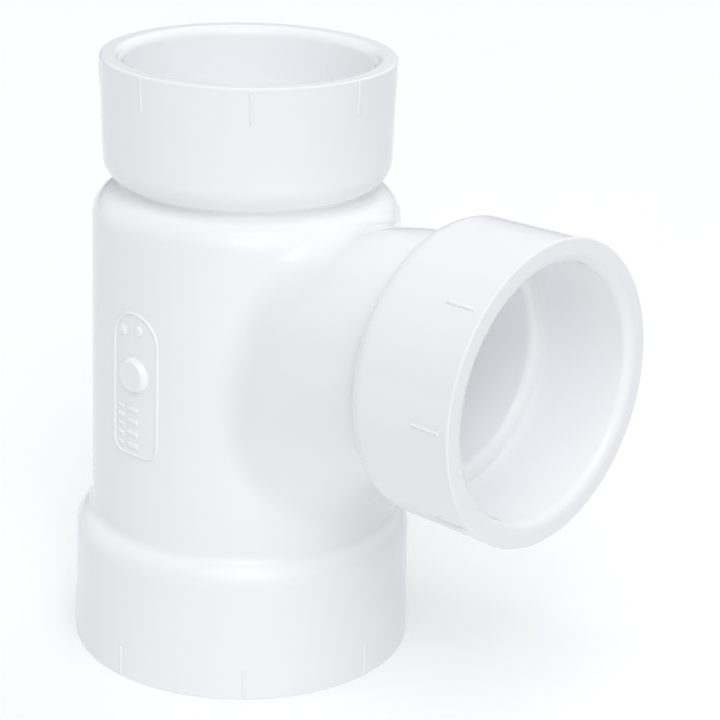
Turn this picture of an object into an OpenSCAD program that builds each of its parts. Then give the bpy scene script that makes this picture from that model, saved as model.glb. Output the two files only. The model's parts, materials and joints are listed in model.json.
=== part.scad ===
// Reducing sanitary tee for drain pipe, socket x socket x socket,
// 2 in x 1-1/2 in x 1-1/2 in. All sizes are in millimetres.
// +Z points up the run, +X points out of the branch, and the origin is the centre
// of the lower socket's mouth.

/* [Run and branch] */
// Height of the run, from the lower rim to the upper rim
run_height = 121.4; // [120:0.2:124]
// Height of the branch axis above the lower rim
branch_height = 72.2; // [71.4:0.2:73]
// Distance from the run axis to the branch rim
branch_reach = 76.2; // [75:0.2:80]
// Radius of the branch centreline where it sweeps down into the run
sweep_r = 46; // [45:0.5:47]

/* [Sockets] */
// Bore of the lower socket, which takes 60.3 mm (2 in) pipe
large_socket_d = 60.4; // [60.3:0.02:60.6]
// Depth of the lower socket
large_socket_depth = 21.4; // [19.2:0.2:22.4]
// Bore of the upper and branch sockets, which take 48.3 mm (1-1/2 in) pipe
small_socket_d = 48.34; // [48.28:0.02:48.6]
// Depth of the upper and branch sockets
small_socket_depth = 19.8; // [17.6:0.2:20.4]
// Thickness of the ring that stops the pipe at the bottom of each socket
stop_thickness = 2; // [1.6:0.2:2.4]
// Width of the step between a socket's wall and its pipe stop
stop_step = 0.6; // [0.4:0.1:1]

/* [Waterway] */
// Bore of the run between its two sockets
large_bore_d = 52.4; // [51.6:0.2:53]
// Bore of the branch, and of the run where it narrows to the upper socket
small_bore_d = 41; // [40.4:0.2:42]

/* [Outside] */
// Outside diameter of the lower hub at its rim
bottom_hub_d = 69.2; // [68.4:0.2:70]
// Outside diameter of the upper hub at its rim
top_hub_d = 57.4; // [57:0.2:58.4]
// Outside diameter of the branch hub at its rim
branch_hub_d = 58; // [57:0.2:58.4]
// Length of the lower hub, including its rounded shoulder
bottom_hub_length = 28.6; // [28:0.2:30]
// Length of the upper hub, including its rounded back edge
top_hub_length = 24.9; // [24.5:0.1:25.3]
// Length of the branch hub, including its rounded back edge
branch_hub_length = 24.9; // [24.7:0.1:25.3]
// Radius of the lower hub's shoulder
bottom_hub_edge_r = 5; // [4.5:0.5:5.5]
// Radius of the upper hub's back edge
top_hub_edge_r = 5.2; // [4.8:0.1:5.4]
// Radius of the branch hub's back edge
branch_hub_edge_r = 4.7; // [4.5:0.1:4.9]
// Loss of radius from a hub's rim to its rounded edge, which frees it from the mould
hub_draft = 0.45; // [0.3:0.05:0.5]
// Diameter of the barrel where it leaves the lower hub
barrel_low_d = 61.8; // [61.4:0.2:62.4]
// Diameter of the barrel below its rounded top
barrel_top_d = 60.7; // [60.3:0.1:61]
// Radius of the barrel's rounded top
barrel_shoulder_r = 6.1; // [5.8:0.1:6.5]
// Diameter of the groove between the barrel and the upper hub
waist_d = 47.8; // [47.8:0.1:49]
// Height of that groove's straight wall
waist_height = 1; // [0.7:0.1:1.3]
// Outside diameter of the branch neck
neck_d = 47.7; // [47.7:0.1:48.3]

/* [Raised details] */
// Number of alignment ribs around each hub
rib_count = 8; // [4:4:8]
// Width of an alignment rib
rib_width = 0.7; // [0.5:0.1:1]
// Height of an alignment rib above the hub's rim radius
rib_height = 0.3; // [0.2:0.05:0.5]
// Length of an alignment rib
rib_length = 6.4; // [5:0.2:8]
// Height of the gate boss's centre above the lower rim
gate_height = 63.2; // [60:0.2:66]
// Diameter of the gate boss where it meets the barrel
gate_base_d = 8.4; // [7:0.2:9]
// Diameter of the gate boss's flat end
gate_end_d = 6; // [4:0.2:7]
// How far the gate boss stands out of the barrel
gate_rise = 1.3; // [0.6:0.1:2]
// Width of the marking panel
panel_width = 12.4; // [11.4:0.2:14]
// Height of the marking panel
panel_height = 29.6; // [28:0.2:32]
// Height of the marking panel's lower edge above the lower rim
panel_low = 46.4; // [44:0.2:48]
// Width of the line that borders the marking panel
border_width = 0.7; // [0.5:0.1:1]
// How far the border and the marking bars stand out of the barrel
relief = 0.3; // [0.2:0.05:0.5]

/* [Hidden] */

$fn = 360;
pvc_white = [0.93, 0.95, 0.97];
// Sides of the polygon that stands for each rounded edge in an outline
arc_steps = 8;
// How far a cutting shape runs past the face it opens
overshoot = 1;

large_socket_r = large_socket_d / 2;
small_socket_r = small_socket_d / 2;
large_bore_r = large_bore_d / 2;
small_bore_r = small_bore_d / 2;
bottom_hub_r = bottom_hub_d / 2;
top_hub_r = top_hub_d / 2;
branch_hub_r = branch_hub_d / 2;
barrel_low_r = barrel_low_d / 2;
barrel_top_r = barrel_top_d / 2;
waist_r = waist_d / 2;
neck_r = neck_d / 2;

// Planes where the hubs end and the barrel and neck begin
top_joint_z = run_height
    - hub_depth(top_hub_r, top_hub_length, top_hub_edge_r, waist_r);
bottom_joint_z = hub_depth(bottom_hub_r, bottom_hub_length, bottom_hub_edge_r, barrel_low_r);
branch_joint_x = branch_reach
    - hub_depth(branch_hub_r, branch_hub_length, branch_hub_edge_r, neck_r);

// The barrel's rounded top ends at the foot of the groove
shoulder_drop = sqrt(pow(barrel_shoulder_r, 2) - pow(waist_r - barrel_top_r + barrel_shoulder_r, 2));
shoulder_z = top_joint_z - waist_height - shoulder_drop;

// Inside, the run's roof follows the rounded top at the wall's thickness
roof_z = 92;
roof_edge_r = 3.4;

// The branch turns about a Y axis through this point
sweep_z = branch_height - sweep_r;
// The neck's outside is swept until its end lies within the barrel
neck_sweep_angle = 76;
// The branch bore is swept on until it runs straight down inside the run
bore_sweep_angle = 90;
// Extra turn that carries the bore out through the neck's end face
bore_lead_angle = 2;

// The upper hub's ribs start at the rim, the branch ribs a little way back from it
run_rib_start = 0.4;
branch_rib_start = 2.1;

// Radius of the marking panel's lower corners
panel_corner_r = 3;
// Small bars stand in a column at the panel's left, clear of the gate boss
small_bar = [1.7, 0.8];
small_bar_x = -3.7;
small_bar_rows = [48.6, 50.5, 52.4, 54.3, 56.2];
// Large bars stand beside them, below the gate boss
large_bar = [3.2, 1.1];
large_bar_x = -0.4;
large_bar_rows = [48.6, 51.1, 53.6, 56.1];
// Plain dots stand above the gate boss
dot_d = 2.2;
dot_places = [[-3.2, 71.6], [1.2, 72.4]];

// Points of an arc about centre, from angle a to angle b
function arc(centre, r, a, b) = [
    for (i = [0:arc_steps])
        let (t = a + (b - a) * i / arc_steps)
            [centre[0] + r * cos(t), centre[1] + r * sin(t)]
];

// Distance of a hub edge's centre from the axis
function edge_centre_r(rim_r, edge_r) = rim_r - hub_draft - edge_r;

// Depth behind the rim at which a hub's rounded edge has come in to end_r
function hub_depth(rim_r, length, edge_r, end_r) =
    length - edge_r + sqrt(pow(edge_r, 2) - pow(end_r - edge_centre_r(rim_r, edge_r), 2));

// Outline of a hub, with its rim at y = 0 and its body below
function hub_outline(rim_r, length, edge_r, end_r) =
    let (
        centre = [edge_centre_r(rim_r, edge_r), edge_r - length],
        last = -acos((end_r - centre[0]) / edge_r)
    )
    concat([[0, 0], [rim_r, 0]], arc(centre, edge_r, 0, last), [[0, centre[1] + edge_r * sin(last)]]);

// A hub without its bores, in the hub's own frame: rim at z = 0, mouth up
module hub_blank(rim_r, length, edge_r, end_r) {
    rotate_extrude()
        polygon(hub_outline(rim_r, length, edge_r, end_r));
}

// A hub with its socket, the seat for its pipe stop, and the waterway
module hub(rim_r, length, edge_r, end_r, socket_r, socket_depth, bore_r) {
    seat_depth = socket_depth + stop_thickness;
    color(pvc_white)
        difference() {
            hub_blank(rim_r, length, edge_r, end_r);
            translate([0, 0, -socket_depth])
                cylinder(h = socket_depth + overshoot, r = socket_r);
            translate([0, 0, -seat_depth])
                cylinder(h = seat_depth, r = socket_r - stop_step);
            translate([0, 0, -length - overshoot])
                cylinder(h = length + 2 * overshoot, r = bore_r);
        }
}

// The ring at the bottom of a socket, in the hub's own frame
module pipe_stop(socket_r, socket_depth, bore_r) {
    color(pvc_white)
        translate([0, 0, -socket_depth - stop_thickness])
            difference() {
                cylinder(h = stop_thickness, r = socket_r - stop_step);
                translate([0, 0, -overshoot])
                    cylinder(h = stop_thickness + 2 * overshoot, r = bore_r);
            }
}

// Ribs around a hub, in the hub's own frame, the first one on its +X side
module alignment_ribs(rim_r, length, edge_r, end_r, start) {
    color(pvc_white)
        difference() {
            for (i = [0:rib_count - 1])
                rotate([0, 0, 360 / rib_count * i])
                    translate([rim_r - overshoot, -rib_width / 2, -start - rib_length])
                        cube([overshoot + rib_height, rib_width, rib_length]);
            hub_blank(rim_r, length, edge_r, end_r);
        }
}

// Places a hub's own frame at each of the three openings
module at_top() {
    translate([0, 0, run_height])
        children();
}

module at_bottom() {
    rotate([180, 0, 0])
        children();
}

module at_branch() {
    translate([branch_reach, 0, branch_height])
        rotate([0, 90, 0])
            children();
}

// A round bar of radius r swept along the branch centreline, from lead degrees
// before the neck's end face to angle degrees after it
module branch_sweep(r, lead, angle) {
    translate([branch_joint_x, 0, sweep_z])
        rotate([90, 0, 0])
            rotate([0, 0, 90 - lead])
                rotate_extrude(angle = lead + angle)
                    translate([sweep_r, 0])
                        circle(r);
}

module branch_bore() {
    branch_sweep(small_bore_r, bore_lead_angle, bore_sweep_angle);
}

// The barrel's outside as a solid
module barrel_blank() {
    centre = [barrel_top_r - barrel_shoulder_r, shoulder_z];
    rotate_extrude()
        polygon(concat(
            [[0, bottom_joint_z], [barrel_low_r, bottom_joint_z]],
            arc(centre, barrel_shoulder_r, 0, asin(shoulder_drop / barrel_shoulder_r)),
            [[waist_r, top_joint_z], [0, top_joint_z]]
        ));
}

// The inside of the run between its two hubs
module run_bore() {
    centre = [large_bore_r - roof_edge_r, roof_z - roof_edge_r];
    rotate_extrude()
        polygon(concat(
            [[0, bottom_joint_z - overshoot], [large_bore_r, bottom_joint_z - overshoot]],
            arc(centre, roof_edge_r, 0, 90),
            [
                [small_bore_r, roof_z],
                [small_bore_r, top_joint_z + overshoot],
                [0, top_joint_z + overshoot]
            ]
        ));
}

module run_barrel() {
    color(pvc_white)
        difference() {
            barrel_blank();
            run_bore();
            branch_bore();
        }
}

module branch_neck() {
    color(pvc_white)
        difference() {
            branch_sweep(neck_r, 0, neck_sweep_angle);
            barrel_blank();
            branch_bore();
        }
}

module top_hub() {
    at_top()
        hub(top_hub_r, top_hub_length, top_hub_edge_r, waist_r,
            small_socket_r, small_socket_depth, small_bore_r);
}

module bottom_hub() {
    at_bottom()
        hub(bottom_hub_r, bottom_hub_length, bottom_hub_edge_r, barrel_low_r,
            large_socket_r, large_socket_depth, large_bore_r);
}

module branch_hub() {
    at_branch()
        hub(branch_hub_r, branch_hub_length, branch_hub_edge_r, neck_r,
            small_socket_r, small_socket_depth, small_bore_r);
}

module top_pipe_stop() {
    at_top()
        pipe_stop(small_socket_r, small_socket_depth, small_bore_r);
}

module bottom_pipe_stop() {
    at_bottom()
        pipe_stop(large_socket_r, large_socket_depth, large_bore_r);
}

module branch_pipe_stop() {
    at_branch()
        pipe_stop(small_socket_r, small_socket_depth, small_bore_r);
}

module top_alignment_ribs() {
    at_top()
        alignment_ribs(top_hub_r, top_hub_length, top_hub_edge_r, waist_r, run_rib_start);
}

module bottom_alignment_ribs() {
    at_bottom()
        alignment_ribs(bottom_hub_r, bottom_hub_length, bottom_hub_edge_r, barrel_low_r,
            run_rib_start);
}

module branch_alignment_ribs() {
    at_branch()
        alignment_ribs(branch_hub_r, branch_hub_length, branch_hub_edge_r, neck_r,
            branch_rib_start);
}

// The barrel's tapered wall as a solid, made larger in radius by extra
module barrel_wall(extra) {
    translate([0, 0, bottom_joint_z])
        cylinder(h = shoulder_z - bottom_joint_z, r1 = barrel_low_r + extra,
            r2 = barrel_top_r + extra);
}

// Stands a flat shape, drawn in X and Z, out of the barrel's -Y side
module barrel_relief() {
    color(pvc_white)
        difference() {
            intersection() {
                rotate([90, 0, 0])
                    linear_extrude(height = barrel_low_r + overshoot)
                        children();
                barrel_wall(relief);
            }
            barrel_wall(0);
        }
}

// The marking panel's outline, inset from its edge: a round top and rounded corners
module panel_outline(inset) {
    half = panel_width / 2;
    r = panel_corner_r - inset;
    top = panel_low + panel_height;
    translate([0, top - half])
        circle(half - inset);
    translate([inset - half, panel_low + panel_corner_r])
        square([panel_width - 2 * inset, panel_height - half - panel_corner_r]);
    translate([panel_corner_r - half, panel_low + inset])
        square([panel_width - 2 * panel_corner_r, panel_corner_r - inset]);
    for (side = [-1, 1])
        translate([side * (half - panel_corner_r), panel_low + panel_corner_r])
            circle(r);
}

module gate_boss() {
    color(pvc_white)
        difference() {
            rotate([90, 0, 0])
                translate([0, gate_height, barrel_top_r - overshoot])
                    cylinder(h = overshoot + gate_rise, d1 = gate_base_d, d2 = gate_end_d);
            barrel_wall(0);
        }
}

module marking_border() {
    barrel_relief()
        difference() {
            panel_outline(0);
            panel_outline(border_width);
        }
}

module marking_bars() {
    barrel_relief() {
        for (z = small_bar_rows)
            translate([small_bar_x, z])
                square(small_bar, center = true);
        for (z = large_bar_rows)
            translate([large_bar_x, z])
                square(large_bar, center = true);
        for (place = dot_places)
            translate(place)
                circle(d = dot_d);
    }
}

run_barrel();
branch_neck();
top_hub();
bottom_hub();
branch_hub();
top_pipe_stop();
bottom_pipe_stop();
branch_pipe_stop();
top_alignment_ribs();
bottom_alignment_ribs();
branch_alignment_ribs();
gate_boss();
marking_border();
marking_bars();
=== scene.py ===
"""Looks of a white PVC drain tee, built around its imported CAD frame.

Shapes are worked out in millimetres and turned into metres when a mesh is made.
Every hub has its own frame: y is 0 at its rim and falls towards the barrel.
"""

import json
import math

import bmesh
import bpy
import numpy as np
from mathutils import Matrix, Vector


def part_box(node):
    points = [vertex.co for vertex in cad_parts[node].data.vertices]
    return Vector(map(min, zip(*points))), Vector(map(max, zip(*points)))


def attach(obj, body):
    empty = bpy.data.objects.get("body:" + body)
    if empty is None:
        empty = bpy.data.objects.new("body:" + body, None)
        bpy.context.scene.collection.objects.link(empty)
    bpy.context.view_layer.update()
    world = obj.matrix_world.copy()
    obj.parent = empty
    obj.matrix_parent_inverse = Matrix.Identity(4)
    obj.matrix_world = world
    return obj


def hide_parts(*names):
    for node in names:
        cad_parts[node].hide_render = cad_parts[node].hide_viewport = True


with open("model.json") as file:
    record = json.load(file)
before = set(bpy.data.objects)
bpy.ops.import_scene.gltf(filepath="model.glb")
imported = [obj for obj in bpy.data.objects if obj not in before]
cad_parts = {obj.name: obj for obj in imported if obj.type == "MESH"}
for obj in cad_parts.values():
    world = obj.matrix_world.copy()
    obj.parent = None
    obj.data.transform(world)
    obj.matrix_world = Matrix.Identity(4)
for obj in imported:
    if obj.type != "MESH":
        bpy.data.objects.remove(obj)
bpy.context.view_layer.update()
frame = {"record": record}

MM = 0.001


# ---------------------------------------------------------------- sizes from the frame


def box_mm(node):
    """Lowest and highest corner of a CAD node, in millimetres."""
    low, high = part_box(node)
    return np.array(low) / MM, np.array(high) / MM


def mount_mm(name):
    """Radius and length of a socket, as the record states them."""
    dims = next(m["dims"] for m in frame["record"]["mounts"] if m["name"] == name)
    return dims["r_mm"], dims["length_mm"]


TOP_BOX = box_mm("top_hub")
BOTTOM_BOX = box_mm("bottom_hub")
BRANCH_BOX = box_mm("branch_hub")
RUN_TOP = TOP_BOX[1][2]
BRANCH_END = BRANCH_BOX[1][0]
BRANCH_Z = (BRANCH_BOX[0][2] + BRANCH_BOX[1][2]) / 2
TOP_R = TOP_BOX[1][0]
BOTTOM_R = BOTTOM_BOX[1][0]
BRANCH_R = BRANCH_BOX[1][1]
TOP_SOCKET_R, TOP_SOCKET_DEPTH = mount_mm("top_socket")
BOTTOM_SOCKET_R, BOTTOM_SOCKET_DEPTH = mount_mm("bottom_socket")
BRANCH_SOCKET_R, BRANCH_SOCKET_DEPTH = mount_mm("branch_socket")
STOP_BOX = box_mm("top_pipe_stop")
STOP_THICKNESS = STOP_BOX[1][2] - STOP_BOX[0][2]
STOP_STEP = TOP_SOCKET_R - STOP_BOX[1][0]
GATE_BOX = box_mm("gate_boss")
GATE_Z = (GATE_BOX[0][2] + GATE_BOX[1][2]) / 2
GATE_FACE = -GATE_BOX[0][1]
PANEL_BOX = box_mm("marking_border")

# Sizes of the moulding that no box states
LARGE_BORE_R = 26.2
SMALL_BORE_R = 20.5
HUB_DRAFT = 0.45
BOTTOM_EDGE_R = 5.0
TOP_EDGE_R = 5.2
BRANCH_EDGE_R = 4.7
BOTTOM_HUB_LENGTH = 28.6
TOP_HUB_LENGTH = 24.9
BRANCH_HUB_LENGTH = 24.9
# Radius and height where the barrel leaves the lower hub
BARREL_LOW = (30.9, 28.28)
BARREL_TOP_R = 30.35
# Radius of the barrel's rounded top, and the radius and height of its centre
SHOULDER_R = 6.1
SHOULDER = (24.25, 89.5)
NECK_R = 23.85
SWEEP_R = 46.0
SWEEP_CENTRE = (51.29, BRANCH_Z - SWEEP_R)
ROOF_Z = 92.0
ROOF_EDGE_R = 3.4

# Rounded grooves and edges of the real moulding
TOP_GROOVE_R = 0.95
BOTTOM_GROOVE_R = 2.5
BRANCH_GROOVE_R = 1.8
NECK_SIDE_FILLET_R = 9.0
NECK_TOP_FILLET_R = 4.0
BORE_FILLET_R = 1.6
RIM_OUTER_R = 0.45
RIM_INNER_R = 2.0
SOCKET_TAPER = 0.11
SOCKET_CORNER_R = 0.3
STOP_EDGE_R = 1.4

# How finely the round shapes are divided
SEGMENTS = 256
ARC_STEP = math.radians(9)
GRID = 0.7
FINE_GRID = 0.2
PROBE = 0.01
SETTLE_STEPS = 6
SHORTEST_SLOPE = 0.05
CORNER_POINTS = 6
SMALLEST_CORNER_R = 0.02
# Guards against division by zero, and the slack of a point that lies on a plane
TINY = 1e-9
SMALLEST_REACH = 1e-6
ON_PLANE = 1e-7


# ---------------------------------------------------------------- outlines and lathes


def arc(centre, radius, start, stop, hollow=False):
    """Rows (r, y, normal r, normal y) of an arc, whose normals point inwards if hollow."""
    count = max(2, math.ceil(abs(stop - start) / ARC_STEP) + 1)
    angles = np.linspace(start, stop, count)
    around = np.stack([np.cos(angles), np.sin(angles)], 1)
    return np.hstack([np.array(centre) + radius * around, -around if hollow else around])


def turn(before, corner, after, radius=0.0):
    """Rows of an outline's corner, rounded or sharp. The outline keeps its body on its left."""
    before, corner, after = (np.array(p, float) for p in (before, corner, after))
    way_in = (corner - before) / np.linalg.norm(corner - before)
    way_out = (after - corner) / np.linalg.norm(after - corner)
    normal_in = np.array([way_in[1], -way_in[0]])
    normal_out = np.array([way_out[1], -way_out[0]])
    if not radius:
        return np.array([[*corner, *normal_in], [*corner, *normal_out]])
    bend = math.atan2(
        way_in[0] * way_out[1] - way_in[1] * way_out[0], float(way_in @ way_out)
    )
    side = math.copysign(1.0, bend)
    begin = corner - way_in * radius * math.tan(abs(bend) / 2)
    centre = begin - side * radius * normal_in
    angle = math.atan2(side * normal_in[1], side * normal_in[0])
    return arc(centre, radius, angle, angle + bend, hollow=side < 0)


def touching_centre(first, first_r, second, second_r, radius):
    """Centre of the circle of that radius outside two circles that touches both, on +r."""
    first, second = np.array(first), np.array(second)
    gap = np.linalg.norm(second - first)
    a, b = first_r + radius, second_r + radius
    along = (a * a - b * b + gap * gap) / (2 * gap)
    way = (second - first) / gap
    across = np.array([way[1], -way[0]])
    if across[0] < 0:
        across = -across
    return first + way * along + across * math.sqrt(a * a - along * along)


def mesh_object(name, points, faces, normals=None):
    """A new object from points in millimetres. normals has one row per face corner."""
    mesh = bpy.data.meshes.new(name)
    mesh.from_pydata((np.asarray(points) * MM).tolist(), [], faces)
    mesh.shade_smooth()
    if normals is not None:
        mesh.normals_split_custom_set(np.asarray(normals).tolist())
    made = bpy.data.objects.new(name, mesh)
    bpy.context.scene.collection.objects.link(made)
    return made


def lathe(name, rows, place):
    """A closed ring turned from an outline in a hub's frame and put at place."""
    rotation, origin = place
    ring = [0]
    for i in range(1, len(rows)):
        ring.append(ring[-1] + (not np.allclose(rows[i, :2], rows[i - 1, :2])))
    rings = ring[-1] + 1
    if np.allclose(rows[0, :2], rows[-1, :2]):
        rings -= 1
    ring = [i % rings for i in ring]
    angles = np.arange(SEGMENTS) * 2 * math.pi / SEGMENTS
    cos, sin = np.cos(angles), np.sin(angles)
    points = np.empty((rings, SEGMENTS, 3))
    for row, i in zip(rows, ring):
        points[i] = np.stack([row[0] * cos, row[0] * sin, np.full(SEGMENTS, row[1])], 1)
    normals = np.stack(
        [rows[:, 2, None] * cos, rows[:, 2, None] * sin,
         np.repeat(rows[:, 3, None], SEGMENTS, 1)], 2,
    )
    here = np.arange(SEGMENTS)
    there = (here + 1) % SEGMENTS
    faces, corners = [], []
    for i in range(len(rows)):
        j = (i + 1) % len(rows)
        if ring[i] == ring[j]:
            continue
        a, b = ring[i] * SEGMENTS, ring[j] * SEGMENTS
        faces.append(np.stack([a + here, a + there, b + there, b + here], 1))
        corners.append(np.stack(
            [normals[i, here], normals[i, there], normals[j, there], normals[j, here]], 1
        ))
    points = points.reshape(-1, 3) @ rotation.T + origin
    corners = np.concatenate(corners).reshape(-1, 3) @ rotation.T
    return mesh_object(name, points, np.concatenate(faces).tolist(), corners)


# Turns and moves a hub's frame to each of the three openings
TOP_PLACE = (np.eye(3), np.array([0.0, 0.0, RUN_TOP]))
BOTTOM_PLACE = (np.diag([1.0, -1.0, -1.0]), np.zeros(3))
BRANCH_PLACE = (
    np.array([[0.0, 0.0, 1.0], [0.0, 1.0, 0.0], [-1.0, 0.0, 0.0]]),
    np.array([BRANCH_END, 0.0, BRANCH_Z]),
)


def edge_centre(rim_r, edge_r, length):
    """Centre of a hub's rounded back edge, in the hub's frame."""
    return np.array([rim_r - HUB_DRAFT - edge_r, edge_r - length])


# The groove under the top hub touches the hub's edge and the barrel's shoulder
TOP_EDGE = edge_centre(TOP_R, TOP_EDGE_R, TOP_HUB_LENGTH) + [0, RUN_TOP]
TOP_GROOVE = touching_centre(
    TOP_EDGE, TOP_EDGE_R, SHOULDER, SHOULDER_R, TOP_GROOVE_R
)


def wall_groove(edge, edge_r, wall_r, radius):
    """Centre of the fillet between a hub's rounded back edge and a straight wall."""
    centre_r = wall_r + radius
    reach = edge_r + radius
    return np.array([centre_r, edge[1] - math.sqrt(reach**2 - (centre_r - edge[0]) ** 2)])


BOTTOM_EDGE = edge_centre(BOTTOM_R, BOTTOM_EDGE_R, BOTTOM_HUB_LENGTH)
BOTTOM_GROOVE = wall_groove(BOTTOM_EDGE, BOTTOM_EDGE_R, BARREL_LOW[0], BOTTOM_GROOVE_R)
BRANCH_EDGE = edge_centre(BRANCH_R, BRANCH_EDGE_R, BRANCH_HUB_LENGTH)
BRANCH_GROOVE = wall_groove(BRANCH_EDGE, BRANCH_EDGE_R, NECK_R, BRANCH_GROOVE_R)

# Planes where one visual piece ends and the next begins
TOP_TOUCH = TOP_EDGE + TOP_EDGE_R * (TOP_GROOVE - TOP_EDGE) / np.linalg.norm(
    TOP_GROOVE - TOP_EDGE
)
TOP_SEAM = TOP_TOUCH[1]
BOTTOM_SEAM = -BOTTOM_GROOVE[1]
BRANCH_SEAM = BRANCH_END + BRANCH_GROOVE[1]
NECK_SEAM = 34.0


def hub_outline(rim_r, edge, edge_r, groove, groove_r, socket_r, depth, bore_r, seam):
    """A hub's outline from its back end, up its wall, over the rim and down its socket."""
    towards = groove - edge
    touch = math.atan2(towards[1], towards[0])
    back = arc(edge, edge_r, touch, 0)
    if groove_r:
        back = np.vstack([arc(groove, groove_r, -math.pi, touch - math.pi, True), back])
    start = back[0, :2]
    wall_top = back[-1, :2]
    mouth_r = socket_r + SOCKET_TAPER
    floor_r = socket_r - SOCKET_TAPER
    seat_r = socket_r - STOP_STEP
    seat_y = -depth - STOP_THICKNESS
    path = [
        (wall_top, (rim_r, 0), (mouth_r, 0), RIM_OUTER_R),
        ((rim_r, 0), (mouth_r, 0), (floor_r, -depth), RIM_INNER_R),
        ((mouth_r, 0), (floor_r, -depth), (seat_r, -depth), SOCKET_CORNER_R),
        ((floor_r, -depth), (seat_r, -depth), (seat_r, seat_y), 0),
        ((seat_r, -depth), (seat_r, seat_y), (bore_r, seat_y), 0),
        ((seat_r, seat_y), (bore_r, seat_y), (bore_r, seam), 0),
        ((bore_r, seat_y), (bore_r, seam), start, 0),
    ]
    first = np.array([[*start, 0.0, -1.0]])
    return np.vstack([first, back, *[turn(*corner) for corner in path]])


def stop_outline(socket_r, depth, bore_r):
    """The ring at the bottom of a socket, with its inner edge rounded."""
    outer = socket_r - STOP_STEP
    top, low = -depth, -depth - STOP_THICKNESS
    corners = [(outer, low), (outer, top), (bore_r, top), (bore_r, low)]
    radii = [0, 0, STOP_EDGE_R, 0]
    return np.vstack([
        turn(corners[i - 1], corners[i], corners[(i + 1) % 4], radii[i]) for i in range(4)
    ])


# ---------------------------------------------------------------- barrel and neck


def blended(a, b, cosine, radius):
    """Union of two distances with a fillet. cosine is of the angle between their normals."""
    reach = 4 * radius * (1 - np.sqrt(np.clip((1 + cosine) / 2, 0, 1))) + SMALLEST_REACH
    share = np.clip(0.5 + 0.5 * (b - a) / reach, 0, 1)
    return b + (a - b) * share - reach * share * (1 - share)


def side_of(start, through, r, z):
    """Positive on the run axis's side of the upward line from start through a point."""
    way = np.array(through) - np.array(start)
    return way[0] * (z - start[1]) - way[1] * (r - start[0])


def barrel_distance(r, z):
    """Distance from the barrel's outside, with its shoulder and the groove above it."""
    slope = (BARREL_LOW[0] - BARREL_TOP_R) / (SHOULDER[1] - BARREL_LOW[1])
    wall = (r - BARREL_LOW[0] + slope * (z - BARREL_LOW[1])) * math.cos(math.atan(slope))
    shoulder = np.hypot(r - SHOULDER[0], z - SHOULDER[1]) - SHOULDER_R
    lower = np.where(z > SHOULDER[1], shoulder, wall)
    hub_edge = np.hypot(r - TOP_EDGE[0], z - TOP_EDGE[1]) - TOP_EDGE_R
    groove = TOP_GROOVE_R - np.hypot(r - TOP_GROOVE[0], z - TOP_GROOVE[1])
    in_groove = (
        (side_of(SHOULDER, TOP_GROOVE, r, z) > 0)
        & (side_of(TOP_EDGE, TOP_GROOVE, r, z) < 0)
        & (z > SHOULDER[1])
    )
    return np.where(in_groove, groove, np.minimum(lower, hub_edge))


def branch_distance(points, radius):
    """Distance from a tube of that radius along the branch centreline, and its normals."""
    x, y, z = points.T
    dx, dz = x - SWEEP_CENTRE[0], z - SWEEP_CENTRE[1]
    around = np.hypot(dx, dz)
    swept = x < SWEEP_CENTRE[0]
    up = np.where(swept, around - SWEEP_R, z - BRANCH_Z)
    way_x = np.where(swept, dx / around, 0)
    way_z = np.where(swept, dz / around, 1)
    off = np.hypot(up, y)
    normals = np.stack([up * way_x, y, up * way_z], 1) / np.maximum(off, TINY)[:, None]
    return off - radius, normals


def run_normals(points, edge):
    """Normals of a plain run wall that turns over to a flat top round the circle edge."""
    x, y, z = points.T
    r = np.maximum(np.hypot(x, y), TINY)
    out = np.where(z > edge[1], np.maximum(r - edge[0], 0), 1)
    up = np.maximum(z - edge[1], 0)
    size = np.maximum(np.hypot(out, up), TINY)
    return np.stack([out * x / r, out * y / r, up], 1) / size[:, None]


def outside(points):
    """Below zero inside the barrel and neck, as if they had no bores."""
    x, y, z = points.T
    neck, neck_normals = branch_distance(points, NECK_R)
    cosine = (neck_normals * run_normals(points, SHOULDER)).sum(1)
    overhead = np.clip(neck_normals[:, 2], 0, 1) ** 2
    fillet = NECK_SIDE_FILLET_R + (NECK_TOP_FILLET_R - NECK_SIDE_FILLET_R) * overhead
    return blended(barrel_distance(np.hypot(x, y), z), neck, cosine, fillet)


def waterway(points):
    """Below zero inside the bores."""
    x, y, z = points.T
    r = np.hypot(x, y)
    edge = (LARGE_BORE_R - ROOF_EDGE_R, ROOF_Z - ROOF_EDGE_R)
    over_r, over_z = r - edge[0], z - edge[1]
    outer_part = np.hypot(np.maximum(over_r, 0), np.maximum(over_z, 0))
    wide = np.minimum(np.maximum(over_r, over_z), 0) + outer_part - ROOF_EDGE_R
    run = blended(wide, r - SMALL_BORE_R, np.where(z > edge[1], 0.0, 1.0), BORE_FILLET_R)
    branch, branch_normals = branch_distance(points, SMALL_BORE_R)
    cosine = (branch_normals * run_normals(points, edge)).sum(1)
    return blended(run, branch, cosine, BORE_FILLET_R)


def slope_of(field, points):
    """How field grows along each axis at each point."""
    found = np.empty_like(points)
    for axis in range(3):
        step = np.zeros(3)
        step[axis] = PROBE
        found[:, axis] = (field(points + step) - field(points - step)) / (2 * PROBE)
    return found


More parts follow.
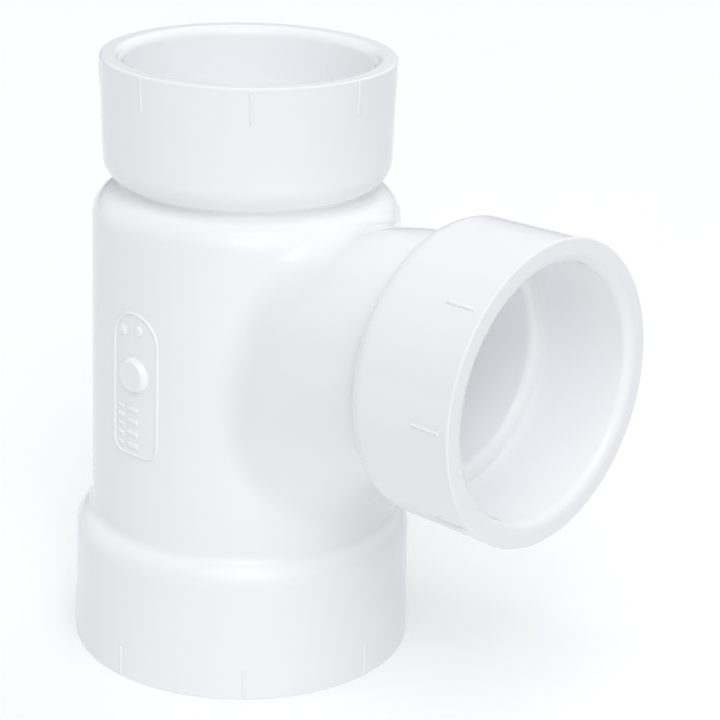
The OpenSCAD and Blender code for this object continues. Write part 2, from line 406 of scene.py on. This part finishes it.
def net(field, ticks, seams):
    """Points and quads on the zero level of field over a grid.

    Each seam (axis, layer, place, side) pins an end layer of cells to a plane."""
    grid = np.stack(np.meshgrid(*ticks, indexing="ij"), -1)
    value = field(grid.reshape(-1, 3)).reshape(grid.shape[:3])
    inside = value < 0
    cells = np.array(value.shape) - 1
    offsets = np.array([(i, j, k) for i in (0, 1) for j in (0, 1) for k in (0, 1)])
    count = sum(
        inside[i : i + cells[0], j : j + cells[1], k : k + cells[2]].astype(int)
        for i, j, k in offsets
    )
    active = (count > 0) & (count < 8)
    index = np.full(cells, -1)
    index[active] = np.arange(active.sum())
    where = np.argwhere(active)
    total, hits = np.zeros((len(where), 3)), np.zeros(len(where))
    for a in range(8):
        for b in range(a + 1, 8):
            if np.abs(offsets[a] - offsets[b]).sum() != 1:
                continue
            at_a, at_b = tuple((where + offsets[a]).T), tuple((where + offsets[b]).T)
            crossed = inside[at_a] != inside[at_b]
            share = value[at_a] / np.where(crossed, value[at_a] - value[at_b], 1)
            spot = grid[at_a] + (grid[at_b] - grid[at_a]) * share[:, None]
            total += np.where(crossed[:, None], spot, 0)
            hits += crossed
    points = total / hits[:, None]
    free = np.ones_like(points)
    for axis, layer, place, _ in seams:
        pinned = where[:, axis] == layer % cells[axis]
        points[pinned, axis] = place
        free[pinned, axis] = 0
    for _ in range(SETTLE_STEPS):
        slope = slope_of(field, points) * free
        points -= slope * (field(points) / np.maximum((slope**2).sum(1), SHORTEST_SLOPE))[:, None]
    quads = []
    for axis in range(3):
        u, v = np.roll(np.eye(3, dtype=int), -axis - 1, axis=0)[:2]
        ends = np.delete(inside, 0, axis), np.delete(inside, -1, axis)
        starts = np.argwhere(ends[0] != ends[1])
        for way in (u, v):
            along = starts @ way
            starts = starts[(along > 0) & (along < cells @ way)]
        corners = [starts - u - v, starts - v, starts, starts - u]
        quad = np.stack([index[tuple(c.T)] for c in corners], 1)
        outwards = inside[tuple(starts.T)]
        quads.append(np.where(outwards[:, None], quad, quad[:, ::-1]))
    return points, np.concatenate(quads)


def wall_piece(name, ticks, seams):
    """A closed piece of the barrel and neck's wall between its seam planes."""
    outer, outer_quads = net(outside, ticks, seams)
    inner, inner_quads = net(waterway, ticks, seams)
    points = np.concatenate([outer, inner])
    normals = np.concatenate([slope_of(outside, outer), -slope_of(waterway, inner)])
    normals /= np.linalg.norm(normals, axis=1)[:, None]
    quads = np.concatenate([outer_quads, inner_quads[:, ::-1] + len(outer)])
    made = mesh_object(name, points, quads.tolist())
    shape = bmesh.new()
    shape.from_mesh(made.data)
    for axis, _, place, side in seams:
        rim = [
            e for e in shape.edges
            if e.is_boundary and all(abs(v.co[axis] - place * MM) < ON_PLANE for v in e.verts)
        ]
        facing = Vector((0, 0, 0))
        facing[axis] = side
        bmesh.ops.triangle_fill(shape, use_beauty=True, edges=rim, normal=facing)
    shape.to_mesh(made.data)
    shape.free()
    mesh = made.data
    mesh.shade_smooth()
    corner_points = np.empty(len(mesh.loops), int)
    mesh.loops.foreach_get("vertex_index", corner_points)
    corner_normals = normals[corner_points]
    for polygon in mesh.polygons[len(quads):]:
        corner_normals[list(polygon.loop_indices)] = polygon.normal
    mesh.normals_split_custom_set(corner_normals.tolist())
    return made


def ticks_between(low, high, step):
    """Even grid lines from low to high, no further apart than step."""
    return np.linspace(low, high, math.ceil((high - low) / step) + 1)


def wall_ticks():
    """Grid lines for the barrel and for the neck, which share their seam's layer."""
    half, fine = GRID / 2, FINE_GRID / 2
    reach = BARREL_LOW[0] + 1
    groove_start = TOP_GROOVE[1] - 3 * TOP_GROOVE_R
    barrel_x = np.append(ticks_between(-reach, NECK_SEAM - half, GRID), NECK_SEAM + half)
    neck_x = np.concatenate([
        [NECK_SEAM - half],
        ticks_between(NECK_SEAM + half, BRANCH_SEAM - half, GRID),
        [BRANCH_SEAM + half],
    ])
    y = ticks_between(-reach, reach, GRID)
    z = np.concatenate([
        [BOTTOM_SEAM - half],
        ticks_between(BOTTOM_SEAM + half, groove_start, GRID),
        ticks_between(groove_start, TOP_SEAM - fine, FINE_GRID)[1:],
        [TOP_SEAM + fine],
    ])
    return (barrel_x, y, z), (neck_x, y, z)


# ---------------------------------------------------------------- raised details

# Height of a moulded line at each step in from its edge, as shares of its full height
EDGE_STEPS = ((-0.04, -0.9), (0.0, 0.0), (0.08, 0.45), (0.16, 0.82), (0.26, 1.0))


def barrel_r(z):
    """Radius of the barrel's wall below its shoulder."""
    share = (z - BARREL_LOW[1]) / (SHOULDER[1] - BARREL_LOW[1])
    return BARREL_LOW[0] + (BARREL_TOP_R - BARREL_LOW[0]) * share


def on_barrel(x, z, height):
    """A point over the barrel's marked side."""
    r = barrel_r(z) + height
    return x, -math.sqrt(r * r - x * x), z


def rounded_rectangle(half_u, half_v, corner, inset):
    """Points round a rounded rectangle, as many for every inset."""
    corner = max(corner - inset, SMALLEST_CORNER_R)
    a, b = half_u - inset - corner, half_v - inset - corner
    points = []
    for turn_index, (u, v) in enumerate(((a, b), (-a, b), (-a, -b), (a, -b))):
        for step in range(CORNER_POINTS):
            angle = math.radians(90 * (turn_index + step / (CORNER_POINTS - 1)))
            points.append((u + corner * math.cos(angle), v + corner * math.sin(angle)))
    return points


def ring_faces(levels, count):
    """Quads between stacked rings of points, and a fan at each end to the last two points."""
    faces = []
    for level in range(levels - 1):
        for i in range(count):
            j = (i + 1) % count
            low, high = level * count, (level + 1) * count
            faces.append((low + i, low + j, high + j, high + i))
    last = (levels - 1) * count
    top = levels * count
    for i in range(count):
        j = (i + 1) % count
        faces.append((last + i, last + j, top))
        faces.append((j, i, top + 1))
    return faces


def pad(half_u, half_v, corner, height, place):
    """Points and faces of a raised pad. place puts (u, v, height) in the row frame."""
    points = []
    rings = [rounded_rectangle(half_u, half_v, corner, inset) for inset, _ in EDGE_STEPS]
    for ring, (_, share) in zip(rings, EDGE_STEPS):
        points += [place(u, v, height * share) for u, v in ring]
    points += [place(0, 0, height), place(0, 0, height * EDGE_STEPS[0][1])]
    return points, ring_faces(len(rings), len(rings[0]))


def joined(name, parts):
    """One object from several (points, faces)."""
    points, faces = [], []
    for part_points, part_faces in parts:
        faces += [tuple(i + len(points) for i in face) for face in part_faces]
        points += part_points
    return mesh_object(name, points, faces)


# Alignment ribs
RIB_COUNT = 8
RIB_WIDTH = 0.7
RUN_RIB_HEIGHT = 0.16
BRANCH_RIB_HEIGHT = 0.28
RIB_LENGTH = 6.4
RUN_RIB_START = 0.4
BRANCH_RIB_START = 2.1
RIB_END_R = 0.9 * RIB_WIDTH / 2


def rib_marks(name, rim_r, edge, start, rise, place):
    """The ribs around a hub, each on the hub's drafted wall."""
    rotation, origin = place
    middle = -start - RIB_LENGTH / 2
    parts = []
    for i in range(RIB_COUNT):
        turned = 2 * math.pi * i / RIB_COUNT

        def on_hub(u, v, height, turned=turned):
            y = middle + v
            r = rim_r + HUB_DRAFT * y / -edge[1] + height
            angle = turned + u / rim_r
            spot = np.array([r * math.cos(angle), r * math.sin(angle), y])
            return tuple(rotation @ spot + origin)

        parts.append(pad(RIB_WIDTH / 2, RIB_LENGTH / 2, RIB_END_R, rise, on_hub))
    return joined(name, parts)


# The marking panel: its border, and plain bars and dots inside it
BORDER_WIDTH = 0.7
RELIEF = 0.3
PANEL_CORNER_R = 3.0
SMALL_BAR = (1.7, 0.8)
SMALL_BAR_CORNER_R = 0.2
SMALL_BAR_X = -3.7
SMALL_BAR_ROWS = (48.6, 50.5, 52.4, 54.3, 56.2)
LARGE_BAR = (3.2, 1.1)
LARGE_BAR_CORNER_R = 0.25
LARGE_BAR_X = -0.4
LARGE_BAR_ROWS = (48.6, 51.1, 53.6, 56.1)
DOT_R = 1.1
DOT_PLACES = ((-3.2, 71.6), (1.2, 72.4))
BORDER_STEP = 0.5


def border_path():
    """Centreline of the panel's border with the way out of the panel: x, z, out x, out z."""
    half = (PANEL_BOX[1][0] - PANEL_BOX[0][0]) / 2
    low, high = PANEL_BOX[0][2], PANEL_BOX[1][2]
    inset = BORDER_WIDTH / 2
    r = PANEL_CORNER_R
    rows = np.vstack([
        arc((0, high - half), half - inset, 0, math.pi),
        arc((r - half, low + r), r - inset, math.pi, 1.5 * math.pi),
        arc((half - r, low + r), r - inset, 1.5 * math.pi, 2 * math.pi),
    ])
    path = []
    for i in range(len(rows)):
        here, there = rows[i], rows[(i + 1) % len(rows)]
        pieces = max(1, math.ceil(np.linalg.norm(there[:2] - here[:2]) / BORDER_STEP))
        path += [here + (there - here) * k / pieces for k in range(pieces)]
    return path


def panel_border(name):
    """The raised line round the marking panel."""
    half = BORDER_WIDTH / 2
    left = [(inset - half, share) for inset, share in EDGE_STEPS]
    section = left + [(-s, share) for s, share in reversed(left)]
    path = border_path()
    points = [
        on_barrel(x + out_x * s, z + out_z * s, RELIEF * share)
        for x, z, out_x, out_z in path
        for s, share in section
    ]
    count = len(section)
    faces = []
    for i in range(len(path)):
        a, b = i * count, (i + 1) % len(path) * count
        for k in range(count):
            m = (k + 1) % count
            faces.append((a + k, b + k, b + m, a + m))
    return mesh_object(name, points, faces)


def panel_bars(name):
    """The plain bars and dots inside the marking panel."""
    marks = [(SMALL_BAR_X, z, SMALL_BAR, SMALL_BAR_CORNER_R) for z in SMALL_BAR_ROWS]
    marks += [(LARGE_BAR_X, z, LARGE_BAR, LARGE_BAR_CORNER_R) for z in LARGE_BAR_ROWS]
    marks += [(x, z, (2 * DOT_R, 2 * DOT_R), DOT_R) for x, z in DOT_PLACES]
    parts = []
    for x, z, (width, tall), corner in marks:

        def on_panel(u, v, height, x=x, z=z):
            return on_barrel(x + u, z + v, height)

        parts.append(pad(width / 2, tall / 2, corner, RELIEF, on_panel))
    return joined(name, parts)


# The gate boss
GATE_BASE_R = 4.2
GATE_END_R = 3.0
GATE_DISH = 0.12
GATE_EDGE_R = 0.35
GATE_ROOT = 2.3
GATE_CORE_R = 0.4
GATE_DISH_R = 2.4
GATE_DISH_EDGE_R = 0.6
GATE_LIP_FALL = 0.01


def gate_stub(name):
    """The boss where the plastic was let in: a low cone with a slightly dished end."""
    low = -GATE_ROOT
    corners = [
        (GATE_CORE_R, low),
        (GATE_BASE_R, low),
        (GATE_END_R, 0),
        (GATE_DISH_R, -GATE_LIP_FALL),
        (GATE_CORE_R, -GATE_DISH),
    ]
    radii = [0, 0, GATE_EDGE_R, GATE_DISH_EDGE_R, 0]
    rows = [
        turn(corners[i - 1], corners[i], corners[(i + 1) % len(corners)], radii[i])
        for i in range(len(corners))
    ]
    ring = np.vstack(rows[1:4])
    angles = np.arange(SEGMENTS // 2) * 4 * math.pi / SEGMENTS
    points = []
    for r, y, _, _ in ring:
        points += [(r * math.cos(a), -GATE_FACE - y, GATE_Z + r * math.sin(a)) for a in angles]
    points += [(0, -GATE_FACE + GATE_DISH, GATE_Z), (0, -GATE_FACE + GATE_ROOT, GATE_Z)]
    return mesh_object(name, points, ring_faces(len(ring), len(angles)))


# ---------------------------------------------------------------- materials

PVC_TINTS = ((0.94, 0.945, 0.957, 1), (0.948, 0.953, 0.962, 1))
PVC_ROUGHNESS = (0.05, 0.08)
PVC_IOR = 1.53
PVC_SPECULAR = 0.3
WAVE_DEPTH = 0.00006
GRAIN_DEPTH = 0.000003
FLOOR_TINTS = ((0.93, 0.93, 0.93, 1), (0.95, 0.95, 0.95, 1))
FLOOR_ROUGHNESS = 0.9
FLOOR_SPECULAR = 0.1
FLOOR_GLOW = 0.08


def new_material(name):
    """A new material with its node tree and shader."""
    material = bpy.data.materials.new(name)
    material.use_nodes = True
    tree = material.node_tree
    return material, tree, tree.nodes["Principled BSDF"]


def noise(tree, place, scale, detail):
    """A noise value whose grain is 1 / scale metres."""
    made = tree.nodes.new("ShaderNodeTexNoise")
    made.inputs["Scale"].default_value = scale
    made.inputs["Detail"].default_value = detail
    made.inputs["Roughness"].default_value = 0.5
    tree.links.new(place, made.inputs["Vector"])
    return made.outputs["Fac"]


def spread(tree, value, low, high):
    """value, taken from the middle of its range to low..high."""
    made = tree.nodes.new("ShaderNodeMapRange")
    made.inputs["From Min"].default_value = 0.3
    made.inputs["From Max"].default_value = 0.7
    made.inputs["To Min"].default_value = low
    made.inputs["To Max"].default_value = high
    tree.links.new(value, made.inputs["Value"])
    return made.outputs["Result"]


def bumped(tree, height, depth, before=None):
    """Normals of a surface whose height varies by depth, in metres."""
    made = tree.nodes.new("ShaderNodeBump")
    made.inputs["Strength"].default_value = 1.0
    made.inputs["Distance"].default_value = depth
    tree.links.new(height, made.inputs["Height"])
    if before is not None:
        tree.links.new(before, made.inputs["Normal"])
    return made.outputs["Normal"]


def mottled(tree, shader, share, tints):
    """Colours a shader between two tints."""
    tint = tree.nodes.new("ShaderNodeMix")
    tint.data_type = "RGBA"
    tint.inputs["A"].default_value, tint.inputs["B"].default_value = tints
    tree.links.new(share, tint.inputs["Factor"])
    tree.links.new(tint.outputs["Result"], shader.inputs["Base Color"])


def white_pvc():
    """Injection-moulded PVC: glossy white, faintly mottled, with slow waves and a fine grain."""
    material, tree, shader = new_material("white_pvc")
    place = tree.nodes.new("ShaderNodeTexCoord").outputs["Object"]
    clouds = noise(tree, place, 55, 3)
    patches = noise(tree, place, 140, 4)
    waves = noise(tree, place, 85, 1)
    grain = noise(tree, place, 900, 2)
    mottled(tree, shader, spread(tree, clouds, 0, 1), PVC_TINTS)
    tree.links.new(spread(tree, patches, *PVC_ROUGHNESS), shader.inputs["Roughness"])
    shader.inputs["IOR"].default_value = PVC_IOR
    shader.inputs["Specular IOR Level"].default_value = PVC_SPECULAR
    wavy = bumped(tree, waves, WAVE_DEPTH)
    tree.links.new(bumped(tree, grain, GRAIN_DEPTH, wavy), shader.inputs["Normal"])
    return material


def pale_floor():
    """A matt, nearly white floor that glows a little, to be as pale as a studio sweep."""
    material, tree, shader = new_material("pale_floor")
    place = tree.nodes.new("ShaderNodeTexCoord").outputs["Object"]
    mottled(tree, shader, noise(tree, place, 12, 2), FLOOR_TINTS)
    shader.inputs["Roughness"].default_value = FLOOR_ROUGHNESS
    shader.inputs["Specular IOR Level"].default_value = FLOOR_SPECULAR
    shader.inputs["Emission Color"].default_value = (1, 1, 1, 1)
    shader.inputs["Emission Strength"].default_value = FLOOR_GLOW
    return material


# ---------------------------------------------------------------- the object

PVC = white_pvc()


def finish_piece(piece, node):
    """Gives a piece its material and its place in the frame, instead of that CAD node."""
    piece.data.materials.append(PVC)
    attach(piece, "root")
    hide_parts(node)


barrel_ticks, neck_ticks = wall_ticks()
finish_piece(
    wall_piece("barrel_wall", barrel_ticks, [
        (0, -1, NECK_SEAM, 1), (2, 0, BOTTOM_SEAM, -1), (2, -1, TOP_SEAM, 1),
    ]),
    "run_barrel",
)
finish_piece(
    wall_piece("neck_wall", neck_ticks, [
        (0, 0, NECK_SEAM, -1), (0, -1, BRANCH_SEAM, 1),
    ]),
    "branch_neck",
)
top_hub_edge = TOP_EDGE - [0, RUN_TOP]
finish_piece(
    lathe("top_collar", hub_outline(
        TOP_R, top_hub_edge, TOP_EDGE_R, TOP_GROOVE - [0, RUN_TOP], 0,
        TOP_SOCKET_R, TOP_SOCKET_DEPTH, SMALL_BORE_R, TOP_SEAM - RUN_TOP,
    ), TOP_PLACE),
    "top_hub",
)
finish_piece(
    lathe("bottom_collar", hub_outline(
        BOTTOM_R, BOTTOM_EDGE, BOTTOM_EDGE_R, BOTTOM_GROOVE, BOTTOM_GROOVE_R,
        BOTTOM_SOCKET_R, BOTTOM_SOCKET_DEPTH, LARGE_BORE_R, BOTTOM_GROOVE[1],
    ), BOTTOM_PLACE),
    "bottom_hub",
)
finish_piece(
    lathe("branch_collar", hub_outline(
        BRANCH_R, BRANCH_EDGE, BRANCH_EDGE_R, BRANCH_GROOVE, BRANCH_GROOVE_R,
        BRANCH_SOCKET_R, BRANCH_SOCKET_DEPTH, SMALL_BORE_R, BRANCH_GROOVE[1],
    ), BRANCH_PLACE),
    "branch_hub",
)
finish_piece(
    lathe("top_stop_ring", stop_outline(TOP_SOCKET_R, TOP_SOCKET_DEPTH, SMALL_BORE_R),
          TOP_PLACE),
    "top_pipe_stop",
)
finish_piece(
    lathe("bottom_stop_ring",
          stop_outline(BOTTOM_SOCKET_R, BOTTOM_SOCKET_DEPTH, LARGE_BORE_R),
          BOTTOM_PLACE),
    "bottom_pipe_stop",
)
finish_piece(
    lathe("branch_stop_ring",
          stop_outline(BRANCH_SOCKET_R, BRANCH_SOCKET_DEPTH, SMALL_BORE_R),
          BRANCH_PLACE),
    "branch_pipe_stop",
)
finish_piece(
    rib_marks("top_rib_marks", TOP_R, top_hub_edge, RUN_RIB_START, RUN_RIB_HEIGHT,
              TOP_PLACE),
    "top_alignment_ribs",
)
finish_piece(
    rib_marks("bottom_rib_marks", BOTTOM_R, BOTTOM_EDGE, RUN_RIB_START, RUN_RIB_HEIGHT,
              BOTTOM_PLACE),
    "bottom_alignment_ribs",
)
finish_piece(
    rib_marks("branch_rib_marks", BRANCH_R, BRANCH_EDGE, BRANCH_RIB_START,
              BRANCH_RIB_HEIGHT, BRANCH_PLACE),
    "branch_alignment_ribs",
)
finish_piece(gate_stub("gate_stub"), "gate_boss")
finish_piece(panel_border("panel_border"), "marking_border")
finish_piece(panel_bars("panel_bars"), "marking_bars")


# ---------------------------------------------------------------- floor, light, camera

FLOOR_SIZE = 8000.0
# White plastic passes light on many times inside its sockets
DIFFUSE_BOUNCES = 12


def studio_floor():
    """A floor that takes shadows. The light from below stands for what it would send back."""
    half = FLOOR_SIZE / 2
    corners = [(-half, -half, 0), (half, -half, 0), (half, half, 0), (-half, half, 0)]
    made = mesh_object("studio_floor", corners, [(0, 1, 2, 3)])
    made.data.materials.append(pale_floor())
    made.visible_diffuse = False
    made.visible_shadow = False


def way_to(azimuth, elevation):
    """Unit vector from the object; azimuth 0 is on the -Y side and 90 on the +X side."""
    a, e = math.radians(azimuth), math.radians(elevation)
    return Vector((math.sin(a) * math.cos(e), -math.cos(a) * math.cos(e), math.sin(e)))


# Rectangular lights: azimuth, elevation, distance, width, height and power
AREA_LIGHTS = {
    "front_strip": (46, 40, 1.1, 0.3, 0.01, 0.45),
    "high_strip": (46, 72, 1.1, 0.3, 0.01, 0.45),
    "low_glow": (41, -35, 0.25, 0.3, 0.1, 0.042),
}
LIGHT_TARGET = Vector((0.02, 0, 0.06))


def soft_light(name, azimuth, elevation, distance, width, height, power):
    """A rectangular light that faces the object."""
    data = bpy.data.lights.new(name, "AREA")
    data.shape = "RECTANGLE"
    data.size, data.size_y = width, height
    data.energy = power
    made = bpy.data.objects.new(name, data)
    bpy.context.scene.collection.objects.link(made)
    way = way_to(azimuth, elevation)
    made.location = LIGHT_TARGET + way * distance
    made.rotation_euler = way.to_track_quat("Z", "Y").to_euler()


# Soft areas of light all round: azimuth, elevation, tightness and strength
SOFT_AREAS = {
    "overhead": (0, 90, 1, 0.63),
    "from below": (0, -90, 1, 1.15),
    "main, high in front": (49, 46, 12, 2.6),
    "fill, low in front": (50, 0, 6, 0.85),
    "left": (-75, 10, 6, 1.25),
    "behind": (180, 25, 4, 1.1),
}


WORLD_TINT = (0.972, 0.978, 1.0, 1)


def math_node(tree, operation, *values):
    """Result of a math node. Each value is a number or another node's output."""
    made = tree.nodes.new("ShaderNodeMath")
    made.operation = operation
    for socket, value in zip(made.inputs, values):
        if isinstance(value, (int, float)):
            socket.default_value = value
        else:
            tree.links.new(value, socket)
    return made.outputs["Value"]


def pale_world():
    """Light from all round, each area falling off as a power of the cosine to its middle."""
    world = bpy.data.worlds.new("studio")
    bpy.context.scene.world = world
    world.use_nodes = True
    tree = world.node_tree
    back = tree.nodes["Background"]
    back.inputs["Color"].default_value = WORLD_TINT
    outwards = tree.nodes.new("ShaderNodeTexCoord").outputs["Generated"]
    total = 0.0
    for azimuth, elevation, tightness, strength in SOFT_AREAS.values():
        towards = tree.nodes.new("ShaderNodeVectorMath")
        towards.operation = "DOT_PRODUCT"
        tree.links.new(outwards, towards.inputs[0])
        towards.inputs[1].default_value = way_to(azimuth, elevation)
        facing = math_node(tree, "MAXIMUM", towards.outputs["Value"], 0.0)
        glow = math_node(tree, "POWER", facing, tightness)
        total = math_node(tree, "MULTIPLY_ADD", glow, strength, total)
    tree.links.new(total, back.inputs["Strength"])


CAMERA_TARGET = Vector((17.44, 15.23, 59.28)) * MM
CAMERA_DISTANCE = 460.8 * MM
CAMERA_AZIMUTH = 41.038
CAMERA_ELEVATION = 20.278
CAMERA_ROLL = 1.831
CAMERA_LENS = 114.24
CAMERA_SENSOR = 36
CAMERA_CLIP = (0.01, 20)


def studio_camera():
    """The camera at the photograph's viewing angle."""
    data = bpy.data.cameras.new("camera")
    data.lens = CAMERA_LENS
    data.sensor_width = CAMERA_SENSOR
    data.clip_start, data.clip_end = CAMERA_CLIP
    made = bpy.data.objects.new("camera", data)
    bpy.context.scene.collection.objects.link(made)
    back = way_to(CAMERA_AZIMUTH, CAMERA_ELEVATION)
    a, roll = math.radians(CAMERA_AZIMUTH), math.radians(CAMERA_ROLL)
    level = Vector((math.cos(a), math.sin(a), 0))
    up = back.cross(level)
    right = math.cos(roll) * level + math.sin(roll) * up
    tilted = math.cos(roll) * up - math.sin(roll) * level
    made.matrix_world = Matrix.Translation(CAMERA_TARGET + back * CAMERA_DISTANCE) @ (
        Matrix((right, tilted, back)).transposed().to_4x4()
    )
    bpy.context.scene.camera = made


studio_floor()
pale_world()
for light_name, settings in AREA_LIGHTS.items():
    soft_light(light_name, *settings)
studio_camera()
bpy.context.scene.view_settings.view_transform = "Standard"
bpy.context.scene.cycles.diffuse_bounces = DIFFUSE_BOUNCES
